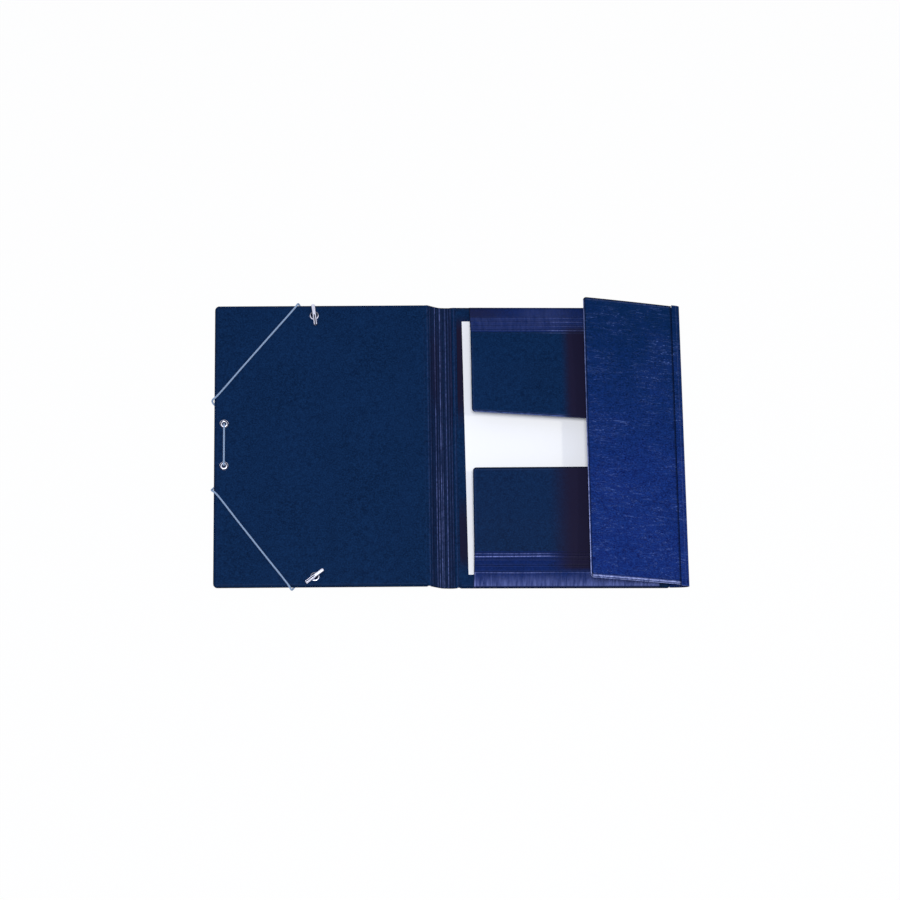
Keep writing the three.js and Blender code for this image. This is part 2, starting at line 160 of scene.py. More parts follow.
# The braid: light strands with painted shade between them
BRAID_GROOVE_SHADE, BRAID_LIGHT = (0.12, 0.18, 0.29), (0.36, 0.48, 0.66)
# Painted shade where the cord dips into an eyelet
BRAID_DIP_SHADE = (0.004, 0.006, 0.016)
FLOOR_GLOW = 0.95

# The spine's hinge line is the middle of the working frame
ORIGIN_X = joints["spine_hinge"]["pos_m"][0] / MM


# Frames of the bodies
def back_place(points):
    return (np.asarray(points, float) + [ORIGIN_X, 0, 0]) * MM


def front_place(points):
    p = np.asarray(points, float)
    c, s = math.cos(FRONT_TILT), math.sin(FRONT_TILT)
    x = p[..., 0] * c - p[..., 2] * s
    z = p[..., 0] * s + p[..., 2] * c
    out = np.stack([x - SPINE_WIDTH, p[..., 1], z + HINGE_HEIGHT], -1)
    return back_place(out)


# Meshes
def make_object(name, vertices, faces, material, wear_and_painted_light=None, shade=None, line=None, smooth=True):
    mesh = bpy.data.meshes.new(name)
    mesh.from_pydata([tuple(v) for v in vertices], [], [tuple(f) for f in faces])
    mesh.validate()
    # Attributes: the first holds pale wear together with painted highlights, and painted shade on
    # the metal and braid; shade holds painted shade and painted shadow; line holds dark lines of
    # painted shade
    for label, values in (("wear_and_painted_light", wear_and_painted_light), ("shade", shade), ("line", line)):
        if values is not None:
            layer = mesh.attributes.new(label, "FLOAT", "POINT")
            layer.data.foreach_set("value", np.asarray(values, np.float32).ravel())
    if smooth:
        mesh.polygons.foreach_set("use_smooth", [True] * len(mesh.polygons))
    mesh.materials.append(material)
    obj = bpy.data.objects.new(name, mesh)
    bpy.context.scene.collection.objects.link(obj)
    return obj


def sheet(name, centre, up, down, place, material, wear_and_painted_light, shade=None, line=None,
          second=None, wall_rows=0):
    """A closed sheet about a grid of centre points, with its own thickness above and below.

    second is the material of its lower face, or of its first wall_rows rows of upper faces."""
    rows, cols = centre.shape[:2]
    along = np.gradient(centre, axis=0)
    across = np.gradient(centre, axis=1)
    normal = np.cross(along, across)
    normal /= np.linalg.norm(normal, axis=-1, keepdims=True)
    if normal[..., 2].mean() < 0:
        normal = -normal
    top = centre + normal * up[..., None]
    bottom = centre - normal * down[..., None]
    vertices = place(np.concatenate([top.reshape(-1, 3), bottom.reshape(-1, 3)]))
    index = np.arange(rows * cols).reshape(rows, cols)
    a, b, c, d = index[:-1, :-1], index[:-1, 1:], index[1:, 1:], index[1:, :-1]
    upper = np.stack([a, b, c, d], -1).reshape(-1, 4)
    lower = upper[:, ::-1] + rows * cols
    ring = np.concatenate([index[0, :], index[1:, -1], index[-1, -2::-1], index[-2:0:-1, 0]])
    after = np.roll(ring, -1)
    side = np.stack([after, ring, ring + rows * cols, after + rows * cols], -1)
    faces = np.concatenate([upper, lower, side])
    if np.dot(np.cross(across[1, 1], along[1, 1]), normal[1, 1]) < 0:
        faces = faces[:, ::-1]
    plain = np.zeros(rows * cols)
    pale_wear_and_highlight = np.concatenate([wear_and_painted_light.ravel(), wear_and_painted_light.ravel() * 0.6])
    dim = np.concatenate([plain if shade is None else shade.ravel(), plain])
    drawn = np.concatenate([plain if line is None else line.ravel(), plain])
    piece = make_object(name, vertices, faces, material, np.clip(pale_wear_and_highlight, 0, 1),
                        np.clip(dim, 0, 1), np.clip(drawn, 0, 0.9))
    if second is not None:
        piece.data.materials.append(second)
        uses = np.zeros(len(faces), np.int32)
        if wall_rows:
            uses[: wall_rows * (cols - 1)] = 1
        else:
            uses[len(upper) : 2 * len(upper)] = 1
        piece.data.polygons.foreach_set("material_index", uses)
    return piece


def step(value, low, high):
    """A smooth step from 0 at low to 1 at high."""
    u = np.clip((value - low) / (high - low), 0, 1)
    return u * u * (3 - 2 * u)


def bunched(low, high, count, edge):
    """Stations from low to high, closer together within a strip at both ends."""
    fine = edge * (np.linspace(0, 1, 10) ** 1.6)
    inner = np.linspace(low + edge, high - edge, count)
    return np.unique(np.round(np.concatenate([low + fine, inner, high - fine]), 5))


def edge_round(distance, thickness, radius=0.45):
    """Half thickness near an outline, rounded over at the very edge."""
    t = np.clip(distance / radius, 0.0, 1.0)
    return thickness / 2 * np.sqrt(np.clip(1 - (1 - t) ** 2, 0.02, 1))


def bump(distance, middle, width):
    """A soft peak of height 1."""
    return np.exp(-(((distance - middle) / width) ** 2))


def corner_inset(depth, radius):
    """How far a rounded corner cuts in at a depth from its end."""
    d = np.clip(depth, 0, radius)
    return radius - np.sqrt(np.clip(radius**2 - (radius - d) ** 2, 0, None))


def waves(x, y, size, height, seed):
    """A smooth random swell."""
    r = np.random.default_rng(seed)
    total = np.zeros(np.broadcast(x, y).shape)
    for _ in range(WAVE_COUNT):
        turn = r.uniform(0, math.tau)
        pitch = size * r.uniform(0.7, 1.6)
        phase = r.uniform(0, math.tau)
        way = x * math.cos(turn) + y * math.sin(turn)
        total = total + np.sin(way / pitch * math.tau + phase)
    return total * height / WAVE_COUNT


def smooth_profile(line, spread=1.2):
    """A folded line at even steps with its folds eased: the lengths, points and corners."""
    line = np.asarray(line, float)
    lengths = np.concatenate([[0], np.cumsum(np.linalg.norm(np.diff(line, axis=0), axis=1))])
    pitch = 0.2
    s = np.arange(0, lengths[-1], pitch)
    pad = int(4 * spread / pitch)
    kernel = np.exp(-((np.arange(-pad, pad + 1) * pitch / spread) ** 2))
    kernel /= kernel.sum()
    eased = []
    for axis in range(2):
        values = np.interp(s, lengths, line[:, axis])
        first = 2 * values[0] - values[1 : pad + 1][::-1]
        last = 2 * values[-1] - values[-pad - 1 : -1][::-1]
        eased.append(np.convolve(np.concatenate([first, values, last]), kernel, "valid"))
    return s, np.stack(eased, -1), lengths


# Materials
def new_material(name, colour, roughness, specular, metallic=0.0):
    material = bpy.data.materials.new(name)
    material.use_nodes = True
    tree = material.node_tree
    shader = tree.nodes["Principled BSDF"]
    shader.inputs["Base Color"].default_value = (*colour, 1)
    shader.inputs["Roughness"].default_value = roughness
    shader.inputs["Specular IOR Level"].default_value = specular
    shader.inputs["Metallic"].default_value = metallic
    return material, tree, shader


def node(tree, kind, **inputs):
    made = tree.nodes.new(kind)
    for key, value in inputs.items():
        made.inputs[key.replace("_", " ")].default_value = value
    return made


def noise(tree, coords, scale, detail=3.0, roughness=0.5):
    made = node(tree, "ShaderNodeTexNoise", Scale=scale, Detail=detail, Roughness=roughness)
    tree.links.new(coords, made.inputs["Vector"])
    return made.outputs["Fac"]


def ramp(tree, value, low, high, to_low=0.0, to_high=1.0):
    made = tree.nodes.new("ShaderNodeMapRange")
    made.inputs["From Min"].default_value = low
    made.inputs["From Max"].default_value = high
    made.inputs["To Min"].default_value = to_low
    made.inputs["To Max"].default_value = to_high
    tree.links.new(value, made.inputs["Value"])
    return made.outputs["Result"]


def math_node(tree, operation, a, b):
    made = tree.nodes.new("ShaderNodeMath")
    made.operation = operation
    for i, value in enumerate((a, b)):
        if isinstance(value, (int, float)):
            made.inputs[i].default_value = value
        else:
            tree.links.new(value, made.inputs[i])
    return made.outputs["Value"]


def mix_colour(tree, factor, a, b):
    made = tree.nodes.new("ShaderNodeMix")
    made.data_type = "RGBA"
    tree.links.new(factor, made.inputs["Factor"])
    for key, value in (("A", a), ("B", b)):
        socket = made.inputs[6 if key == "A" else 7]
        if isinstance(value, tuple):
            socket.default_value = (*value, 1)
        else:
            tree.links.new(value, socket)
    return made.outputs[2]


def stretched(tree, coords, scale, detail, distortion=0.0):
    """Noise drawn out along one axis."""
    mapping = tree.nodes.new("ShaderNodeMapping")
    mapping.inputs["Scale"].default_value = scale
    tree.links.new(coords, mapping.inputs["Vector"])
    made = node(tree, "ShaderNodeTexNoise", Scale=1.0, Detail=detail, Distortion=distortion)
    tree.links.new(mapping.outputs["Vector"], made.inputs["Vector"])
    return made.outputs["Fac"]


def attribute(tree, name):
    made = tree.nodes.new("ShaderNodeAttribute")
    made.attribute_name = name
    return made.outputs["Fac"]


def add_relief(tree, shader, height, strength, distance):
    relief = node(tree, "ShaderNodeBump", Strength=strength, Distance=distance)
    tree.links.new(height, relief.inputs["Height"])
    tree.links.new(relief.outputs["Normal"], shader.inputs["Normal"])


def height_drift(tree, coords, coarse):
    """How far up the sheet a point lies, broken up by the coarse grain."""
    parts = tree.nodes.new("ShaderNodeSeparateXYZ")
    tree.links.new(coords, parts.inputs["Vector"])
    return math_node(tree, "ADD", parts.outputs["Y"], math_node(tree, "MULTIPLY", coarse, 0.12))


def wrinkled(tree, coords, base):
    """The base with a pale haze and fine crosswise wrinkles with a painted highlight on them, and
    the wrinkles' share.
    """
    haze = noise(tree, coords, 26.0, 2.0, 0.5)
    base = mix_colour(tree, ramp(tree, haze, 0.46, 0.72, 0.0, 0.16), base, HAZE)
    across = stretched(tree, coords, (38.0, 240.0, 38.0), 3.0, 1.0)
    off = math_node(tree, "ABSOLUTE", math_node(tree, "SUBTRACT", across, 0.5), 0.0)
    line = ramp(tree, off, 0.0, 0.022, 1.0, 0.0)
    wrinkle = math_node(tree, "MULTIPLY", line, ramp(tree, haze, 0.4, 0.66, 0.12, 1.0))
    broken = ramp(tree, noise(tree, coords, 420.0, 2.0, 0.6), 0.4, 0.62, 0.15, 0.85)
    base = mix_colour(tree, math_node(tree, "MULTIPLY", wrinkle, broken), base, WRINKLE_HIGHLIGHT)
    return base, wrinkle


def sheet_material(name, colours, pale_wear_and_highlight, roughness, specular, grain, grain_share, depth, kind):
    """Plastic sheet: grained, pale where creased or welded, partly wear and partly a painted
    highlight, with painted shadow and dark lines of painted shade in its recesses.

    colours holds its own colour, the dark one it drifts to and the light one of its grain.
    kind is plain, leather or wall."""
    colour, dark, light = colours
    material, tree, shader = new_material(name, colour, roughness, specular)
    coords = tree.nodes.new("ShaderNodeTexCoord").outputs["Object"]
    if kind == "leather":
        fine = stretched(tree, coords, (grain * 0.95, grain * 1.7, grain), 2.0, 0.4)
    else:
        fine = noise(tree, coords, grain, 2.0, 0.6)
    coarse = noise(tree, coords, grain * 0.28, 3.0, 0.6)
    cloud = ramp(tree, noise(tree, coords, 14.0, 4.0, 0.6), 0.38, 0.62)
    base = mix_colour(tree, cloud, dark, colour)
    if kind == "leather":
        drift = height_drift(tree, coords, coarse)
        base = mix_colour(tree, ramp(tree, drift, -0.06, 0.2), base, UPPER_TINT)
    base = mix_colour(tree, ramp(tree, coarse, 0.35, 0.75, 0.0, grain_share * 0.5), base, light)
    base = mix_colour(tree, ramp(tree, fine, 0.4, 0.7, 0.0, grain_share), base, light)
    height = math_node(tree, "ADD", fine, coarse)
    if kind == "leather":
        base = mix_colour(tree, ramp(tree, drift, 0.02, 0.24, 0.0, 0.8), base, UPPER_VEIL)
        base, wrinkle = wrinkled(tree, coords, base)
        height = math_node(tree, "ADD", height, math_node(tree, "MULTIPLY", wrinkle, 1.5))
    if kind == "wall":
        streak = ramp(tree, stretched(tree, coords, (420.0, 60.0, 60.0), 3.0, 0.4), 0.3, 0.7)
        height = math_node(tree, "ADD", height, streak)
        patchy = ramp(tree, streak, 0.0, 1.0, 0.25, 1.35)
    else:
        patchy = ramp(tree, noise(tree, coords, 260.0, 3.0, 0.6), 0.36, 0.62, 0.3, 1.0)
    # Pale wear and painted highlights, then painted shadow, then dark lines of painted shade
    pale_wear_and_highlight_share = math_node(tree, "MULTIPLY", attribute(tree, "wear_and_painted_light"), patchy)
    base = mix_colour(tree, pale_wear_and_highlight_share, base, pale_wear_and_highlight)
    base = mix_colour(tree, attribute(tree, "shade"), base, BROWN_SHADE)
    base = mix_colour(tree, attribute(tree, "line"), base, SHADE_LINE)
    tree.links.new(base, shader.inputs["Base Color"])
    sheen = ramp(tree, fine, 0.3, 0.7, roughness - 0.06, roughness + 0.06)
    tree.links.new(sheen, shader.inputs["Roughness"])
    add_relief(tree, shader, height, 1.0, depth)
    return material


INSIDE = sheet_material(
    "inside_sheet",
    ((0.0014, 0.0118, 0.0465), (0.0008, 0.009, 0.0365), (0.0056, 0.031, 0.103)),
    PALE_WEAR_AND_HIGHLIGHT, 0.55, 0.03, 620.0, 0.72, 0.00006, "plain")
OUTSIDE = sheet_material(
    "outside_sheet",
    ((0.0035, 0.016, 0.095), (0.0025, 0.012, 0.07), (0.012, 0.037, 0.19)),
    PALE_WEAR_AND_HIGHLIGHT, 0.45, 0.04, 560.0, 0.7, 0.00016, "leather")
GLOSSY = sheet_material(
    "side_sheet",
    ((0.0032, 0.0094, 0.088), (0.0018, 0.0068, 0.066), (0.0095, 0.038, 0.21)),
    SIDE_WEAR_AND_HIGHLIGHT, 0.42, 0.03, 520.0, 1.0, 0.00018, "leather")
WALL = sheet_material(
    "wall_sheet",
    ((0.0018, 0.013, 0.082), (0.001, 0.0105, 0.063), (0.0068, 0.027, 0.155)),
    WALL_WEAR_AND_SHEEN, 0.45, 0.04, 560.0, 0.6, 0.00012, "wall")


def paper_material():
    material, tree, shader = new_material("paper", (0.975, 0.975, 0.98), 0.8, 0.15)
    coords = tree.nodes.new("ShaderNodeTexCoord").outputs["Object"]
    fibres = noise(tree, coords, 1400.0, 4.0, 0.7)
    share = ramp(tree, fibres, 0.3, 0.7)
    tint = mix_colour(tree, share, (0.968, 0.968, 0.972), (0.98, 0.98, 0.984))
    tree.links.new(tint, shader.inputs["Base Color"])
    add_relief(tree, shader, fibres, 0.5, 0.00002)
    return material


def metal_material():
    """Nickel plate, with painted shade in its recesses and away from its painted highlights."""
    material, tree, shader = new_material("nickel", NICKEL, 0.34, 0.5, 1.0)
    coords = tree.nodes.new("ShaderNodeTexCoord").outputs["Object"]
    scuffs = noise(tree, coords, 1100.0, 4.0, 0.7)
    tint = mix_colour(tree, attribute(tree, "wear_and_painted_light"), NICKEL, NICKEL_PAINTED_SHADE)
    tree.links.new(tint, shader.inputs["Base Color"])
    tree.links.new(ramp(tree, scuffs, 0.3, 0.7, 0.28, 0.4), shader.inputs["Roughness"])
    add_relief(tree, shader, scuffs, 0.15, 0.00001)
    return material


def elastic_material():
    """Braided elastic: pale strands, with painted shade between them and where it dips into an
    eyelet.
    """
    material, tree, shader = new_material("elastic", BRAID_LIGHT, 0.75, 0.2)
    coords = tree.nodes.new("ShaderNodeTexCoord").outputs["Object"]
    fluff = ramp(tree, noise(tree, coords, 1800.0, 3.0, 0.7), 0.25, 0.75, 0.7, 1.0)
    weave = math_node(tree, "MULTIPLY", attribute(tree, "wear_and_painted_light"), fluff)
    braided = mix_colour(tree, weave, BRAID_GROOVE_SHADE, BRAID_LIGHT)
    tint = mix_colour(tree, attribute(tree, "shade"), braided, BRAID_DIP_SHADE)
    tree.links.new(tint, shader.inputs["Base Color"])
    add_relief(tree, shader, weave, 0.8, 0.0001)
    return material


PAPER = paper_material()
METAL = metal_material()
ELASTIC = elastic_material()


# Covers
def painted_hinge_shadow(x, y):
    """A painted shadow: the brownish strip beside the paper's left edge."""
    band = step(x, -3, 3) * (1 - step(x, 12, 20))
    upper = step(y, 10, 60) * (1 - step(y, 135, 160))
    lower = step(-y, 50, 90) * (1 - step(-y, 125, 150))
    return band * (0.95 * upper + 0.8 * lower)


def cover(name, x0, x1, place, lift, body, nodes, seed):
    """A board-stiffened cover, flat inside its welded rim."""
    y_line = bunched(-HALF, HALF, 150, 4.0)
    u_line = bunched(0, x1 - x0, 120, 4.0)
    y, u = np.meshgrid(y_line, u_line, indexing="ij")
    depth = HALF - np.abs(y)
    inset = corner_inset(depth, COVER_CORNER)
    width = x1 - x0
    x = x0 + inset + u / width * (width - 2 * inset)
    edge = np.minimum(depth, np.minimum(u, width - u))
    swell = waves(x, y, 150.0, 0.16, seed) * np.clip(edge / 30, 0, 1)
    rim = -0.5 * bump(edge, 2.4, 0.5) - 0.12 * np.clip(1 - edge / 2.2, 0, 1)
    middle = np.full_like(x, -COVER_THICKNESS / 2 + lift)
    centre = np.stack([x, y, middle], -1)
    half = edge_round(edge, COVER_THICKNESS, 0.8)
    up = half + rim * (edge < 8) + swell * 0.4
    # A faint pale weld line; dark lines of painted shade at the rounded outline and in the weld
    # groove; a painted shadow on the back cover beside the paper
    wear_and_painted_light = 0.04 * bump(edge, 3.2, 0.5)
    line = 0.8 * bump(edge, 0.0, 1.1) + 0.3 * bump(edge, 2.4, 0.6)
    shade = painted_hinge_shadow(x, y) if body == "back_cover" else np.zeros_like(x)
    piece = sheet(name, centre, up, half, place, INSIDE, wear_and_painted_light, shade, line, OUTSIDE)
    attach(piece, body)
    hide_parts(*nodes)


cover("front_cover_panel", -FRONT_WIDTH, -0.15, front_place, 0.0, "front_cover",
      ["front_outer_skin", "front_lining", "front_board"], 3)
cover("back_cover_panel", 0.0, BACK_WIDTH, back_place, COVER_THICKNESS, "back_cover",
      ["back_outer_skin", "back_lining", "back_board"], 5)


# Spine
def spine_line():
    valley = SPINE_THICKNESS / 2
    first = -CREASE_PITCH * 3 + 1
    return [
        (-SPINE_WIDTH + 0.15, HINGE_HEIGHT - 0.3 - valley),
        ((first - SPINE_WIDTH) / 2, (HINGE_HEIGHT + valley) / 2),
        (first, valley + 0.9),
        (first + CREASE_PITCH, valley),
        (first + 2 * CREASE_PITCH, valley),
        (-0.15, COVER_THICKNESS - 0.3 - valley),
    ]


def spine_piece():
    s, eased, _ = smooth_profile(spine_line(), 0.8)
    s_line = np.linspace(0, s[-1], 170)
    y_line = bunched(-HALF, HALF, 130, 3.0)
    y, sg = np.meshgrid(y_line, s_line, indexing="ij")
    x = np.interp(sg, s, eased[:, 0])
    z = np.interp(sg, s, eased[:, 1])
    edge = HALF - np.abs(y)
    half = edge_round(edge, SPINE_THICKNESS, 0.4)
    groove = np.zeros_like(x)
    wear_and_painted_light = np.zeros_like(x)
    # The whole spine a little darker and browner, with painted shade by the back hinge beside the
    # paper and on the left slope of its upper half
    shade = np.full_like(x, 0.3)
    line = 0.7 * bump(edge, 0.0, 1.1)
    low_end = step(-y, -60, 120)
    # Each line: a groove, a pale crease of stress whitening and painted highlight, and a dark line
    # of painted shade beside it
    for at, top, bottom in SPINE_LINES:
        wander = waves(y, y * 0, 140.0, 0.2, int(-at * 10))
        off = x - at - wander
        flicker = 0.75 + waves(y, y * 0, 45.0, 0.8, int(-at * 17))
        strength = (top + (bottom - top) * low_end) * flicker
        groove += -0.18 * bump(off, 0.6, 0.4) + 0.08 * bump(off, -0.3, 0.35)
        wear_and_painted_light += 1.8 * np.clip(strength, 0, 1) * bump(off, -0.8, 0.36)
        line += 0.45 * bump(off, 0.8, 0.4)
    shade += 0.4 * step(x, -9, 0) * step(y, 0, 60) * (1 - step(y, 130, 160))
    shade += 0.35 * bump(x, -22, 5) * step(y, 30, 70) * (1 - step(y, 110, 150))
    wear_and_painted_light += 0.07 * bump(x, -16.5, 2.5) * (0.4 + 0.6 * low_end)
    centre = np.stack([x, y, z], -1)
    piece = sheet("spine_sheet", centre, half + groove, half, back_place, INSIDE,
                  wear_and_painted_light, shade, line, OUTSIDE)
    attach(piece, "spine")
    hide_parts("spine")


spine_piece()


def hinge_strip(name, centre_line):
    """The welded band of sheet that bends at a hinge line."""
    s_line = np.linspace(0, 1, 28)
    y_line = bunched(-HALF + 0.4, HALF - 0.4, 110, 3.0)
    y, sg = np.meshgrid(y_line, s_line, indexing="ij")
    points = np.asarray(centre_line, float)
    at = np.linspace(0, 1, len(points))
    x = np.interp(sg, at, points[:, 0])
    z = np.interp(sg, at, points[:, 1])
    edge = np.minimum(sg, 1 - sg) * 5
    half = edge_round(edge, HINGE_STRIP, 0.8)
    ridge = 0.12 * bump(sg, 0.5, 0.1)
    # A faint pale line on the ridge, partly a painted highlight, and painted shade just past it
    wear_and_painted_light = 0.12 * bump(sg, 0.5, 0.09)
    shade = 0.3 * bump(sg, 0.72, 0.1)
    centre = np.stack([x, y, z], -1)
    piece = sheet(name, centre, half + ridge, half * 0.4, back_place, INSIDE, wear_and_painted_light, shade)
    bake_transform(piece)


slope = math.tan(FRONT_TILT)
hinge_strip("front_hinge_strip",
            [(-SPINE_WIDTH - 3.2, HINGE_HEIGHT - 3.2 * slope + 0.05),
             (-SPINE_WIDTH, HINGE_HEIGHT + 0.08), (-SPINE_WIDTH + 2.0, HINGE_HEIGHT - 1.0)])
hinge_strip("back_hinge_strip",
            [(-2.2, 2.05), (0.0, COVER_THICKNESS + 0.1), (3.2, COVER_THICKNESS + 0.12)])


# Top and bottom flaps
def flap_line(share, slack):
    """A flap's profile: foot, rising wall, creases, then its panel, sunk by share."""
    line = [(0.55, FOOT), (3.3, FOOT + 0.4)]
    for crease in range(4):
        rise = FLAP_WALL_RISE + crease * FLAP_CREASE_RISE
        line.append((FLAP_WALL_RUN + crease * FLAP_CREASE_RUN, FOOT + rise * share))
    run, rise = line[-1]
    line.append((run + FLAP_PANEL_RUN * 0.4, rise + FLAP_PANEL_RISE * 0.62 * share))
    line.append((run + FLAP_PANEL_RUN + slack, rise + FLAP_PANEL_RISE * share))
    return line


def flap_grid(columns, slant):
    """Stations of a flap: its profile at each column, from the foot to the free edge."""
    along = (columns - FLAP_LEFT) / (FLAP_RIGHT - FLAP_LEFT)
    share = 1 - step(along, TUCK_START, 1) * (1 - TUCKED_SHARE)
    run_end = FLAP_WALL_RUN + 3 * FLAP_CREASE_RUN + FLAP_PANEL_RUN + slant * along
    gusset = np.linspace(0, 1, 150)
    panel = bunched(0, 1, 90, 0.04)
    shape = (len(gusset) + len(panel) - 1, len(columns))
    x, run, z, s_all, d_free = (np.zeros(shape) for _ in range(5))
    crease_at = np.zeros((4, len(columns)))
    for j, column in enumerate(columns):
        s, eased, lengths = smooth_profile(flap_line(share[j], 14.0), 0.9)
        s_free = np.interp(run_end[j], eased[:, 0], s)
        last = lengths[5] + 5.0
        stations = np.concatenate([gusset * last, last + panel[1:] * (s_free - last)])
        run[:, j] = np.interp(stations, s, eased[:, 0])
        z[:, j] = np.interp(stations, s, eased[:, 1])
        s_all[:, j] = stations
        d_free[:, j] = s_free - stations
        crease_at[:, j] = lengths[2:6]
        x[:, j] = column
    return x, run, z, s_all, d_free, crease_at


def edge_marks(side, x, s_all, free, left):
    """Pale wear and painted highlights, dark lines of painted shade and painted shadow on a flap's
    edges, wall and tucked end.
    """
    inner = step(s_all, 40, 60)
    # Dark lines of painted shade along the left edge and inside the free edge
    line = 0.7 * bump(left, 0, 0.9) + 0.6 * bump(free, 1.3, 0.5)
    if side > 0:
        # Pale lines along the free edge's bead, partly painted highlight
        wear_and_painted_light = 0.6 * bump(free, 0.2, 0.4) + 0.3 * bump(free, 2.6, 0.35)
        wear_and_painted_light += 0.12 * bump(left, 2.2, 0.3) * inner
        crease_zone = step(s_all, 15, 19) * (1 - step(s_all, 34, 42))
        wear_and_painted_light += 0.07 * crease_zone * (1 - 0.5 * step(x, 110, 130))
        wear_and_painted_light += 0.06 * step(x, 60, 90) * (1 - step(x, 115, 140)) * (1 - step(s_all, 14, 20))
        # Painted shade where the wall rises from its foot
        line += 0.4 * (1 - step(s_all, 1, 4))
        # Painted shadow of the side flap, and painted shade at the wall's left end
        shade = 0.92 * step(x, 117, 130) * step(s_all, 26, 46)
        shade += 0.45 * (1 - step(x, 25, 75)) * (1 - step(s_all, 14, 22))
    else:
        wear_and_painted_light = 0.22 * bump(free, 2.6, 0.4) + 0.1 * bump(left, 2.2, 0.3) * inner
        # A painted highlight along the wall's left edge, then a painted sheen over the wall,
        # strongest near its foot and more to the right
        wear_and_painted_light += 1.6 * bump(left, 0.6, 0.8) * (1 - step(s_all, 16, 19))
        wall = 1 - step(s_all, 0, 19)
        wall_zone = (1 - step(s_all, 17, 19)) * step(s_all, 0.8, 2.5)
        wear_and_painted_light += (0.4 * wall + 0.16 * step(x, 120, 165)) * wall_zone
        # Dark lines of painted shade at the free edge and at the wall's foot
        line += 0.6 * bump(free, 0, 0.9) + 0.7 * (1 - step(s_all, 0.5, 1.6))
        # The whole flap a little darker, with the painted shadow of the side flap
        shade = 0.1 + 0.82 * step(x, 98, 128) * step(s_all, 17, 23)
    return wear_and_painted_light, line, shade


def crease_marks(side, seed, x, run, s_all, crease_at):
    """Relief, pale wear with a painted highlight, and dark lines of painted shade along a flap's
    pressed creases.
    """
    groove, wear_and_painted_light, line = (np.zeros_like(x) for _ in range(3))
    for i, (start, end) in enumerate(TOP_CREASES if side > 0 else BOTTOM_CREASES):
        wander = waves(x, x * 0, 80.0, 0.4, seed * 10 + i)
        at = crease_at[i] if i < 4 else crease_at[3] + 3.0 * side
        off = s_all - at[None, :] - wander
        across = step(x, 95, 118) if side < 0 else step(x, 85, 125)
        strength = start + (end - start) * across
        strength = strength * (0.85 + waves(x, run, 60.0, 0.5, seed + i))
        pressed = -0.32 * bump(off, 0, 0.45) + 0.2 * bump(np.abs(off), 1.1, 0.5)
        groove += pressed * (0.4 if i == 4 else 1)
        # A pale crease of stress whitening and painted highlight, with painted shade on its other
        # side
        wear_and_painted_light += np.clip(strength, 0, 1.3) * bump(off, 0.5 * side, 0.48)
        line += 0.4 * bump(off, -0.6 * side, 0.45)
    return groove, wear_and_painted_light, line


def edge_flap(name, side, slant, seed, node_name):
    """The top (side 1) or bottom (side -1) flap with its wall."""
    x, run, z, s_all, d_free, crease_at = flap_grid(bunched(FLAP_LEFT, FLAP_RIGHT, 120, 4.0), slant)
    inset = corner_inset(d_free, FLAP_CORNER)
    centre_x = (FLAP_LEFT + FLAP_RIGHT) / 2
    half_width = (FLAP_RIGHT - FLAP_LEFT) / 2
    x = centre_x + (x - centre_x) * (half_width - inset) / half_width
    edge = np.minimum(np.minimum(x - FLAP_LEFT, FLAP_RIGHT - x) - inset, d_free)
    swell = waves(x, run, 90.0, 0.55, seed)
    swell *= np.clip(d_free / 10, 0.3, 1) * np.clip(s_all / 30, 0, 1)
    free, left = np.maximum(d_free - inset, 0), x - FLAP_LEFT - inset
    wear_and_painted_light, line, shade = edge_marks(side, x, s_all, free, left)
    groove, crease_wear_and_highlight, crease_line = crease_marks(side, seed, x, run, s_all, crease_at)
    half = edge_round(edge, FLAP_THICKNESS, 0.4)
    bead = 0.16 * bump(edge, 1.5, 0.55) - 0.1 * bump(edge, 2.6, 0.35)
    centre = np.stack([x, side * (HALF - run), z + swell], -1)
    wall_rows = int(np.searchsorted(s_all[:, 0], crease_at[3][0] + 2))
    piece = sheet(name, centre, half + groove + bead, half, back_place, INSIDE,
                  wear_and_painted_light + crease_wear_and_highlight, shade, line + crease_line, WALL, wall_rows)
    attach(piece, "back_cover")
    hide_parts(node_name)


edge_flap("top_flap_sheet", 1, 12.5, 11, "top_flap")
edge_flap("bottom_flap_sheet", -1, 1.5, 23, "bottom_flap")


# Side flap and its gusset
def gusset_line():
    edge = BACK_WIDTH
    top = GROOVE_HEIGHT - 0.3 - FLAP_THICKNESS / 2
    return [
        (edge - 1.65, FOOT),
        (edge + 3, FOOT + 0.1),
        (edge + SIDE_BULGE * 0.45, FOOT + 0.4),
        (edge + SIDE_BULGE * 0.8, FOOT + 1.5),
        (edge + SIDE_BULGE, (FOOT + top) / 2),
        (edge + SIDE_BULGE * 0.82, top - 1.6),
        (edge + GROOVE_REACH + 0.3, top),
    ]


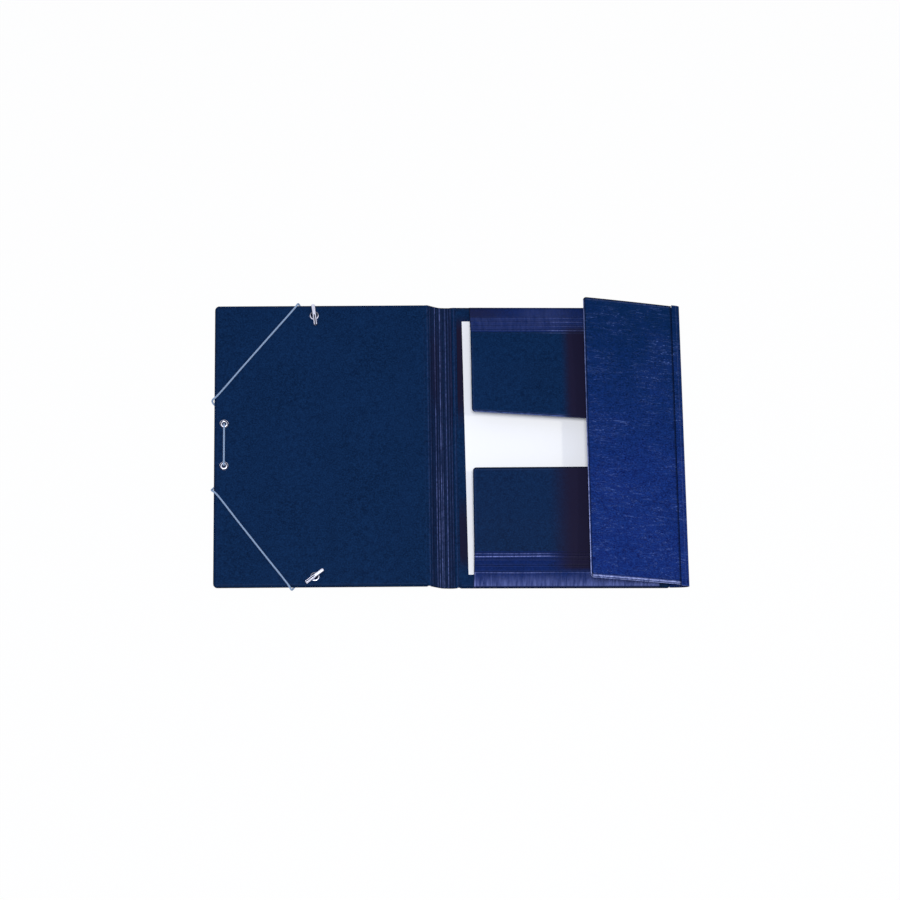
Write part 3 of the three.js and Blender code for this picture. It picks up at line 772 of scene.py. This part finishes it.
def side_gusset():
    s, eased, lengths = smooth_profile(gusset_line(), 1.3)
    s_line = np.linspace(0, s[-1], 150)
    y_line = bunched(-HALF, HALF, 140, 3.0)
    y, sg = np.meshgrid(y_line, s_line, indexing="ij")
    x = np.interp(sg, s, eased[:, 0])
    z = np.interp(sg, s, eased[:, 1])
    edge = HALF - np.abs(y)
    half = edge_round(edge, FLAP_THICKNESS, 0.4)
    # Pale outline and creases, partly painted highlights; dark lines of painted shade at the
    # groove, the shoulder, the bulge and the outline, and painted shade over the wall up to the
    # shoulder
    wear_and_painted_light = 0.4 * bump(edge, 0.3, 0.3)
    for i, crease in enumerate((lengths[2], lengths[3], lengths[5])):
        wander = waves(y, y * 0, 100.0, 0.4, 40 + i)
        wear_and_painted_light += 0.12 * bump(sg, crease + wander + 0.6, 0.4)
    shoulder = lengths[5]
    line = 0.5 * bump(sg, s[-1] - 0.4, 0.9) + 0.5 * bump(sg, shoulder, 0.8)
    line += 0.7 * bump(edge, 0, 0.9)
    line += 0.5 * bump(sg, lengths[4], 1.2) + 0.5 * bump(sg, shoulder - 2.6, 0.5)
    line += 0.45 * (1 - step(sg, shoulder - 1.5, shoulder + 1.5))
    piece = sheet("side_gusset_sheet", np.stack([x, y, z], -1), half, half, back_place, GLOSSY,
                  wear_and_painted_light, None, line)
    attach(piece, "back_cover")
    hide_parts("side_gusset")


def side_panel():
    line = [(0.15, 0.0), (SIDE_RUN * 0.35, SIDE_RISE * 0.37), (SIDE_RUN * 0.7, SIDE_RISE * 0.72),
            (SIDE_RUN, SIDE_RISE)]
    s, eased, _ = smooth_profile(line, 6.0)
    s_line = bunched(0, s[-1], 110, 4.0)
    y_line = bunched(-SIDE_HALF, SIDE_HALF, 170, 4.0)
    y, sg = np.meshgrid(y_line, s_line, indexing="ij")
    depth = s[-1] - sg
    inset = corner_inset(depth, FLAP_CORNER)
    y = y * (SIDE_HALF - inset) / SIDE_HALF
    edge = np.minimum(SIDE_HALF - np.abs(y) - inset, np.minimum(depth, sg))
    x = BACK_WIDTH + GROOVE_REACH - np.interp(sg, s, eased[:, 0])
    z = GROOVE_HEIGHT - SIDE_THICKNESS / 2 + np.interp(sg, s, eased[:, 1])
    z = z + waves(x, y, 130.0, 0.5, 61) * np.clip(edge / 20, 0, 1)
    half = edge_round(edge, SIDE_THICKNESS, 0.55)
    bead = 0.18 * bump(edge, 1.6, 0.5) - 0.12 * bump(edge, 2.7, 0.35)
    bottom, top = SIDE_HALF + y - inset, SIDE_HALF - y - inset
    # Painted highlights: pale along the free edge and strongly along the bottom bead, faint along
    # the top
    wear_and_painted_light = 1.1 * bump(depth, 0.2, 0.5) * (0.35 + 0.65 * step(-y, -40, 130))
    wear_and_painted_light += 2.2 * bump(bottom, 2.3, 0.75) + 0.9 * bump(bottom, 0.1, 0.4)
    wear_and_painted_light += 0.12 * bump(top, 2.4, 0.4)
    # Dark lines of painted shade inside the free edge, along the top, under the bottom bead and at
    # the hinge groove
    line = 0.8 * bump(depth, 1.7, 0.7) + 0.9 * bump(top, 0.3, 1.2)
    line += 0.8 * bump(bottom, 1.0, 0.35) + 0.35 * bump(bottom, 3.8, 0.7)
    line += 0.75 * bump(sg, 1.0, 0.9)
    piece = sheet("side_flap_sheet", np.stack([x, y, z], -1), half + bead, half, back_place, GLOSSY,
                  wear_and_painted_light, None, line)
    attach(piece, "side_flap")
    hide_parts("side_flap")


side_gusset()
side_panel()


# Paper
def paper_stack():
    """A few sheets of A4, each shifted and turned a little."""
    half_x, half_y = PAPER_WIDTH / 2, PAPER_HEIGHT / 2
    centre_x = PAPER_LEFT + half_x
    vertices, faces = [], []
    for i in range(PAPER_COUNT):
        shift_x, shift_y = rng.uniform(-PAPER_SHIFT, PAPER_SHIFT, 2)
        turn = PAPER_TURN + rng.uniform(-PAPER_SKEW, PAPER_SKEW)
        c, s = math.cos(turn), math.sin(turn)
        bottom = SHOULDER + i / PAPER_COUNT
        for z in (bottom, bottom + PAPER_SHEET):
            for sx, sy in ((-1, -1), (1, -1), (1, 1), (-1, 1)):
                px, py = sx * half_x + shift_x, sy * half_y + shift_y
                vertices.append((centre_x + px * c - py * s, px * s + py * c, z))
        b = i * 8
        faces += [(b + 3, b + 2, b + 1, b), (b + 4, b + 5, b + 6, b + 7)]
        for k in range(4):
            after = (k + 1) % 4
            faces.append((b + k, b + after, b + 4 + after, b + 4 + k))
    piece = make_object("paper_stack", back_place(vertices), faces, PAPER, smooth=False)
    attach(piece, "back_cover")
    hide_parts("paper_sheets")


paper_stack()


# Eyelets, washers and end clips
def revolve(profile, segments=64):
    """A closed profile of (radius, z) turned about the z axis: vertices and faces."""
    profile = np.asarray(profile, float)
    angles = np.linspace(0, math.tau, segments, endpoint=False)
    ring = np.stack([np.outer(np.cos(angles), profile[:, 0]),
                     np.outer(np.sin(angles), profile[:, 0]),
                     np.tile(profile[:, 1], (segments, 1))], -1)
    n = len(profile)
    faces = []
    for i in range(segments):
        j = (i + 1) % segments
        for k in range(n):
            after = (k + 1) % n
            faces.append((i * n + k, j * n + k, j * n + after, i * n + after))
    return ring.reshape(-1, 3), faces


def round_profile(low, high, inner, outer):
    """A flat ring's section with a rolled, rounded top."""
    angles = np.linspace(0, math.pi, 10)[1:-1]
    middle, half = (inner + outer) / 2, (outer - inner) / 2
    arc = [(middle + half * math.cos(a), low + (high - low) * math.sin(a) ** 0.7) for a in angles]
    return [(outer, low), *arc, (inner, low)]


def eyelet_piece(place_name, centre):
    """An eyelet with its rolled top, with a painted highlight on a ring round its hole and painted
    shade elsewhere.
    """
    low = -SHOULDER - 0.4
    rolled = round_profile(EYELET_LOW, EYELET_TOP, EYELET_BORE, EYELET_RING)
    shank = [(SHANK_RADIUS, EYELET_LOW), (SHANK_RADIUS, low + 0.4), (EYELET_FLANGE, low + 0.4)]
    flange = [(EYELET_FLANGE, low + 0.1), (EYELET_FLANGE - 0.1, low), (2.5, low),
              (EYELET_BORE, low + 0.3)]
    profile = [*shank, *flange, *rolled[::-1][:-1], (EYELET_RING, EYELET_LOW + 0.02)]
    vertices, faces = revolve(profile)
    if place_name.endswith("end"):
        painted_metal_shade = np.ones(len(vertices))
    else:
        reach = np.hypot(vertices[:, 0], vertices[:, 1])
        upper = step(vertices[:, 1], -1.5, 1.0)
        ring = step(reach, 2.3, 2.6) * (1 - step(reach, 3.0, 3.2) * upper)
        painted_metal_shade = 1 - ring * (vertices[:, 2] > 0.75)
    vertices = vertices + [*centre, 0]
    piece = make_object("rivet_" + place_name, front_place(vertices), faces, METAL, painted_metal_shade)
    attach(piece, "front_cover")
    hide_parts("eyelet_" + place_name)


def washer_piece(place_name, centre):
    """A washer with a painted highlight on its outer rim, where the light catches it, and painted
    shade elsewhere.
    """
    vertices, faces = revolve(round_profile(0.1, 0.6, WASHER_BORE, WASHER_RADIUS))
    across, up = vertices[:, 0], vertices[:, 1]
    reach = np.hypot(across, up)
    if place_name.endswith("end"):
        lit = step(-up, -1.5, 1.0) if centre[1] > 0 else step(across - up, -1.0, 2.5)
        painted_metal_shade = 1 - step(reach, 3.8, 4.2) * (0.3 + 0.7 * lit)
    else:
        painted_metal_shade = 1 - step(reach, 4.3, 4.5) * (0.05 + 0.95 * step(up, -0.5, 1.5))
    vertices = vertices + [*centre, 0]
    piece = make_object("ring_" + place_name, front_place(vertices), faces, METAL, painted_metal_shade)
    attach(piece, "front_cover")
    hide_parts("washer_" + place_name)


for place_name, centre in EYELETS.items():
    eyelet_piece(place_name, centre)
    washer_piece(place_name, centre)


def end_clip(name, centre, turn, node_name):
    """A rolled bar: a channel open along its top, then a closed tube with a round end."""
    stations = np.concatenate([
        np.linspace(-BAR_HALF, -0.6, 14), np.linspace(-0.4, 0.4, 5),
        np.linspace(0.6, BAR_DOME_START, 12),
        BAR_DOME_START + 2.25 * np.sin(np.linspace(0.1, 1.5, 10)),
    ])
    vertices, faces, painted_metal_shade = [], [], []
    for station in stations:
        end = max(0.0, (station - BAR_DOME_START) / BAR_DOME)
        radius = BAR_RADIUS * math.sqrt(max(0.004, 1 - end * end))
        inner = max(0.05, radius - BAR_WALL)
        channel = station < BAR_CHANNEL_END
        opening = math.asin(BAR_SLOT / 2 / BAR_RADIUS) if channel else BAR_SEAM
        span = math.pi - opening
        angles = np.linspace(-span, span, BAR_ARC)
        outward = np.abs(angles)
        lip = 0.12 * np.exp(-(((outward - span) / 0.25) ** 2)) * channel
        for a, extra in zip(angles, lip):
            reach = radius + extra
            vertices.append((station, reach * math.sin(a), -reach * math.cos(a)))
        for a in angles[::-1]:
            vertices.append((station, inner * math.sin(a), -inner * math.cos(a)))
        # Painted shade on the bar's sides and inside, leaving a painted highlight along its top
        flank = 0.7 - 0.7 * step(outward, 1.3, 1.9)
        if not channel:
            flank = BAR_PAINTED_SHADE - BAR_PAINTED_SHADE * step(outward, 2.0, 2.4)
        painted_metal_shade += [*flank] + [BAR_PAINTED_SHADE] * BAR_ARC
    ring = 2 * BAR_ARC
    for k in range(len(stations) - 1):
        for i in range(ring):
            j = (i + 1) % ring
            faces.append((k * ring + i, k * ring + j, (k + 1) * ring + j, (k + 1) * ring + i))
    for base, flip in ((0, True), ((len(stations) - 1) * ring, False)):
        for i in range(BAR_ARC - 1):
            quad = (base + i, base + i + 1, base + ring - 2 - i, base + ring - 1 - i)
            faces.append(quad[::-1] if flip else quad)
    points = np.asarray(vertices)
    c, s = math.cos(turn), math.sin(turn)
    moved = np.stack([points[:, 0] * c - points[:, 1] * s + centre[0],
                      points[:, 0] * s + points[:, 1] * c + centre[1],
                      points[:, 2] + BAR_HEIGHT], -1)
    piece = make_object(name, front_place(moved), faces, METAL, painted_metal_shade)
    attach(piece, "front_cover")
    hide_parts(node_name)


end_clip("top_clip", EYELETS["top_end"], TOP_TURN, "top_end_clip")
end_clip("bottom_clip", EYELETS["bottom_end"], BOTTOM_TURN, "bottom_end_clip")


# Elastic cord
def cord_route():
    """The cord's way through both bars, the four eyelets and round the cover's edges."""
    over = CORD_RADIUS + 0.25
    under = -CORD_DROP
    above = EYELET_TOP + CORD_RADIUS + 0.15
    edge_x = -FRONT_WIDTH
    left_x, left_y = EYELETS["upper_edge"]
    end_x, end_y = EYELETS["top_end"]
    mid = -COVER_THICKNESS / 2

    def in_bar(turn, side, along, z):
        return (end_x + math.cos(turn) * along, side * end_y + math.sin(turn) * along, z)

    def straight(a, b, z):
        return [(a[0] + (b[0] - a[0]) * k / 3, a[1] + (b[1] - a[1]) * k / 3, z) for k in (1, 2)]

    def left_wrap(side):
        return [
            (edge_x + 2, side * (EDGE_WRAP + 2.4), over),
            (edge_x - 1.4, side * (EDGE_WRAP - 0.4), over - 0.45),
            (edge_x - 2.4, side * (EDGE_WRAP - 2), mid),
            (edge_x - 1.5, side * (EDGE_WRAP - 3.6), under + 0.8),
            (edge_x + 1.6, side * (EDGE_WRAP - 7.4), under),
        ]

    return [
        in_bar(TOP_TURN, 1, 8.5, BAR_HEIGHT), in_bar(TOP_TURN, 1, 5.5, BAR_HEIGHT),
        in_bar(TOP_TURN, 1, 2.6, BAR_HEIGHT - 0.1), in_bar(TOP_TURN, 1, 0.8, BAR_HEIGHT - 1),
        (end_x, end_y, EYELET_TOP - 0.4), (end_x, end_y, mid),
        (end_x - 0.2, end_y + 0.1, under + 1.3), (end_x - 1.8, end_y + 1.2, under + 0.1),
        (end_x - 8, end_y + 5, under), (end_x - 14.4, HALF - 1.8, under),
        (end_x - 16.6, HALF + 1.4, under + 0.8), (end_x - 17.6, HALF + 2.4, mid),
        (end_x - 18.6, HALF + 1.5, over - 0.45), (end_x - 20.8, HALF - 1.8, over),
        *straight((end_x - 20.8, HALF - 1.8), (edge_x + 2, EDGE_WRAP + 2.4), over),
        *left_wrap(1), (left_x - 3, left_y + 6, under),
        (left_x - 0.8, left_y + 1.7, under + 0.1), (left_x, left_y, under + 1.5),
        (left_x, left_y, mid), (left_x, left_y, EYELET_TOP - 0.4),
        (left_x, left_y - 0.9, above - 0.35), (left_x, left_y - 3, above),
        (left_x, left_y / 3, above), (left_x, -left_y / 3, above),
        (left_x, 3 - left_y, above), (left_x, 0.9 - left_y, above - 0.35),
        (left_x, -left_y, EYELET_TOP - 0.4), (left_x, -left_y, mid),
        (left_x, -left_y, under + 1.5), (left_x - 0.8, -left_y - 1.7, under + 0.1),
        (left_x - 3, -left_y - 6, under), *left_wrap(-1)[::-1],
        *straight((edge_x + 2, -EDGE_WRAP - 2.4), (end_x - 28.6, 1.8 - HALF), over),
        (end_x - 28.6, 1.8 - HALF, over), (end_x - 26.6, -HALF - 1.5, over - 0.45),
        (end_x - 25.6, -HALF - 2.4, mid), (end_x - 24.4, -HALF - 1.4, under + 0.8),
        (end_x - 21.8, 1.8 - HALF, under), (end_x - 10, -end_y - 4.6, under),
        (end_x - 1.9, -end_y - 1, under + 0.1), (end_x - 0.2, -end_y - 0.1, under + 1.3),
        (end_x, -end_y, mid), (end_x, -end_y, EYELET_TOP - 0.4),
        in_bar(BOTTOM_TURN, -1, 0.8, BAR_HEIGHT - 1),
        in_bar(BOTTOM_TURN, -1, 2.6, BAR_HEIGHT - 0.1),
        in_bar(BOTTOM_TURN, -1, 5.5, BAR_HEIGHT), in_bar(BOTTOM_TURN, -1, 8.5, BAR_HEIGHT),
    ]


def between(a, b, low, high, u):
    """The point at u on the way from a at low to b at high."""
    return (high - u) / (high - low) * a + (u - low) / (high - low) * b


def smooth_route(points, pitch):
    """Points at about even steps along a curve through the route (centripetal)."""
    p = np.asarray(points, float)
    p = np.concatenate([[2 * p[0] - p[1]], p, [2 * p[-1] - p[-2]]])
    out = []
    for i in range(1, len(p) - 2):
        t = [0.0]
        for a, b in zip(p[i - 1 : i + 2], p[i : i + 3]):
            t.append(t[-1] + max(1e-6, np.linalg.norm(b - a)) ** 0.5)
        count = max(2, int(np.linalg.norm(p[i + 1] - p[i]) / pitch))
        for u in np.linspace(t[1], t[2], count, endpoint=False):
            first = between(p[i - 1], p[i], t[0], t[1], u)
            middle = between(p[i], p[i + 1], t[1], t[2], u)
            last = between(p[i + 1], p[i + 2], t[2], t[3], u)
            start = between(first, middle, t[0], t[2], u)
            end = between(middle, last, t[1], t[3], u)
            out.append(between(start, end, t[1], t[2], u))
    out.append(p[-2])
    return np.asarray(out)


def cord_piece():
    """The cord's tube, its strands crossing in a braid."""
    route = smooth_route(cord_route(), CORD_PITCH)
    tangent = np.gradient(route, axis=0)
    tangent /= np.linalg.norm(tangent, axis=1, keepdims=True)
    side = np.cross(tangent[0], [0, 0, 1.0])
    side /= np.linalg.norm(side)
    angles = np.linspace(0, math.tau, CORD_SIDES, endpoint=False)
    length = np.concatenate([[0], np.cumsum(np.linalg.norm(np.diff(route, axis=0), axis=1))])
    vertices, wear_and_painted_light, shade = [], [], []
    for point, way, at in zip(route, tangent, length):
        near = min(math.hypot(point[0] - x, point[1] - y) for x, y in EYELETS.values())
        # Painted shade where the cord dips into an eyelet
        dip = (1 - step(point[2], 0.9, 2.3)) * (1 - step(near, 2.0, 3.0))
        shade.append(np.full(CORD_SIDES, dip))
        side = side - way * np.dot(side, way)
        side /= np.linalg.norm(side)
        other = np.cross(way, side)
        left = np.sin(BRAID_STRANDS * angles + at * BRAID_LAY)
        right = np.sin(BRAID_STRANDS * angles - at * BRAID_LAY)
        strand = np.maximum(left, right)
        radius = CORD_RADIUS * (0.97 + 0.03 * strand)
        round_side = np.outer(np.cos(angles) * radius, side)
        vertices.append(point + round_side + np.outer(np.sin(angles) * radius, other))
        # Pale strands with painted shade between them
        wear_and_painted_light.append(0.5 + 0.5 * strand)
    count = len(route)
    faces = []
    for k in range(count - 1):
        for i in range(CORD_SIDES):
            j = (i + 1) % CORD_SIDES
            a, b = k * CORD_SIDES, (k + 1) * CORD_SIDES
            faces.append((a + i, a + j, b + j, b + i))
    faces.append(tuple(range(CORD_SIDES))[::-1])
    faces.append(tuple((count - 1) * CORD_SIDES + i for i in range(CORD_SIDES)))
    points = front_place(np.concatenate(vertices))
    piece = make_object("elastic_braid", points, faces, ELASTIC, np.concatenate(wear_and_painted_light),
                        np.concatenate(shade))
    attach(piece, "front_cover")
    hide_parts("elastic_cord")


cord_piece()


# Floor, world, lights and camera
def seen_directly(tree):
    """1 where a ray comes from the camera, a reflection or glass."""
    rays = tree.nodes.new("ShaderNodeLightPath")
    first = math_node(tree, "MAXIMUM", rays.outputs["Is Camera Ray"], rays.outputs["Is Glossy Ray"])
    return math_node(tree, "MAXIMUM", first, rays.outputs["Is Transmission Ray"])


def stage():
    """A pale floor and a white world, plain white to the camera and a bluish fill to the rest."""
    size, drop = 6.0, -0.0004
    corners = [(-size, -size, drop), (size, -size, drop), (size, size, drop), (-size, size, drop)]
    mesh = bpy.data.meshes.new("floor")
    mesh.from_pydata(corners, [], [(0, 1, 2, 3)])
    floor = bpy.data.objects.new("floor", mesh)
    bpy.context.scene.collection.objects.link(floor)
    material, tree, shader = new_material("floor", (0.86, 0.86, 0.87), 0.9, 0.1)
    glow = tree.nodes.new("ShaderNodeEmission")
    glow.inputs["Color"].default_value = (1, 1, 1, 1)
    mix = tree.nodes.new("ShaderNodeMixShader")
    share = math_node(tree, "MULTIPLY", seen_directly(tree), FLOOR_GLOW)
    tree.links.new(share, mix.inputs[0])
    tree.links.new(shader.outputs[0], mix.inputs[1])
    tree.links.new(glow.outputs[0], mix.inputs[2])
    tree.links.new(mix.outputs[0], tree.nodes["Material Output"].inputs["Surface"])
    mesh.materials.append(material)

    backdrop = bpy.data.worlds.new("world")
    bpy.context.scene.world = backdrop
    backdrop.use_nodes = True
    tree = backdrop.node_tree
    fill = tree.nodes["Background"]
    fill.inputs["Color"].default_value = (0.76, 0.85, 1.12, 1)
    fill.inputs["Strength"].default_value = 0.35
    white = tree.nodes.new("ShaderNodeBackground")
    mix = tree.nodes.new("ShaderNodeMixShader")
    tree.links.new(seen_directly(tree), mix.inputs[0])
    tree.links.new(fill.outputs[0], mix.inputs[1])
    tree.links.new(white.outputs[0], mix.inputs[2])
    tree.links.new(mix.outputs[0], tree.nodes["World Output"].inputs["Surface"])


def area_light(name, position, target, size, power, colour):
    data = bpy.data.lights.new(name, "AREA")
    data.shape = "DISK"
    data.size = size
    data.energy = power
    data.color = colour
    lamp = bpy.data.objects.new(name, data)
    lamp.location = position
    lamp.rotation_euler = (Vector(target) - Vector(position)).to_track_quat("-Z", "Y").to_euler()
    bpy.context.scene.collection.objects.link(lamp)


def camera():
    """The photograph's view: almost from above, a little to the left, and rolled level."""
    elevation, azimuth, roll = (math.radians(a) for a in (71.0, -8.0, 7.573))
    distance, pixels, width = 3.904, 3507.9, 900.0
    target = Vector((0.0027, -0.0039, 0.0))
    level = math.cos(elevation)
    back = Vector((math.sin(azimuth) * level, -math.cos(azimuth) * level, math.sin(elevation)))
    right = (-back).cross(Vector((0, 0, 1))).normalized()
    up = right.cross(-back)
    side = right * math.cos(roll) + up * math.sin(roll)
    top = up * math.cos(roll) - right * math.sin(roll)
    data = bpy.data.cameras.new("camera")
    data.sensor_width = 36.0
    data.lens = pixels / width * data.sensor_width
    data.clip_end = 50.0
    eye = bpy.data.objects.new("camera", data)
    place = target + back * distance
    matrix = Matrix((side, top, back)).transposed().to_4x4()
    matrix.translation = place
    eye.matrix_world = matrix
    bpy.context.scene.collection.objects.link(eye)
    bpy.context.scene.camera = eye


stage()
area_light("key", (-0.1, -0.75, 2.9), (0, 0, 0), 0.7, 60.5, (0.97, 0.98, 1.0))
area_light("right", (1.35, -0.25, 1.8), (0.1, 0, 0), 0.14, 6.5, (1.0, 0.96, 0.8))
camera()
bpy.context.scene.view_settings.view_transform = "Standard"
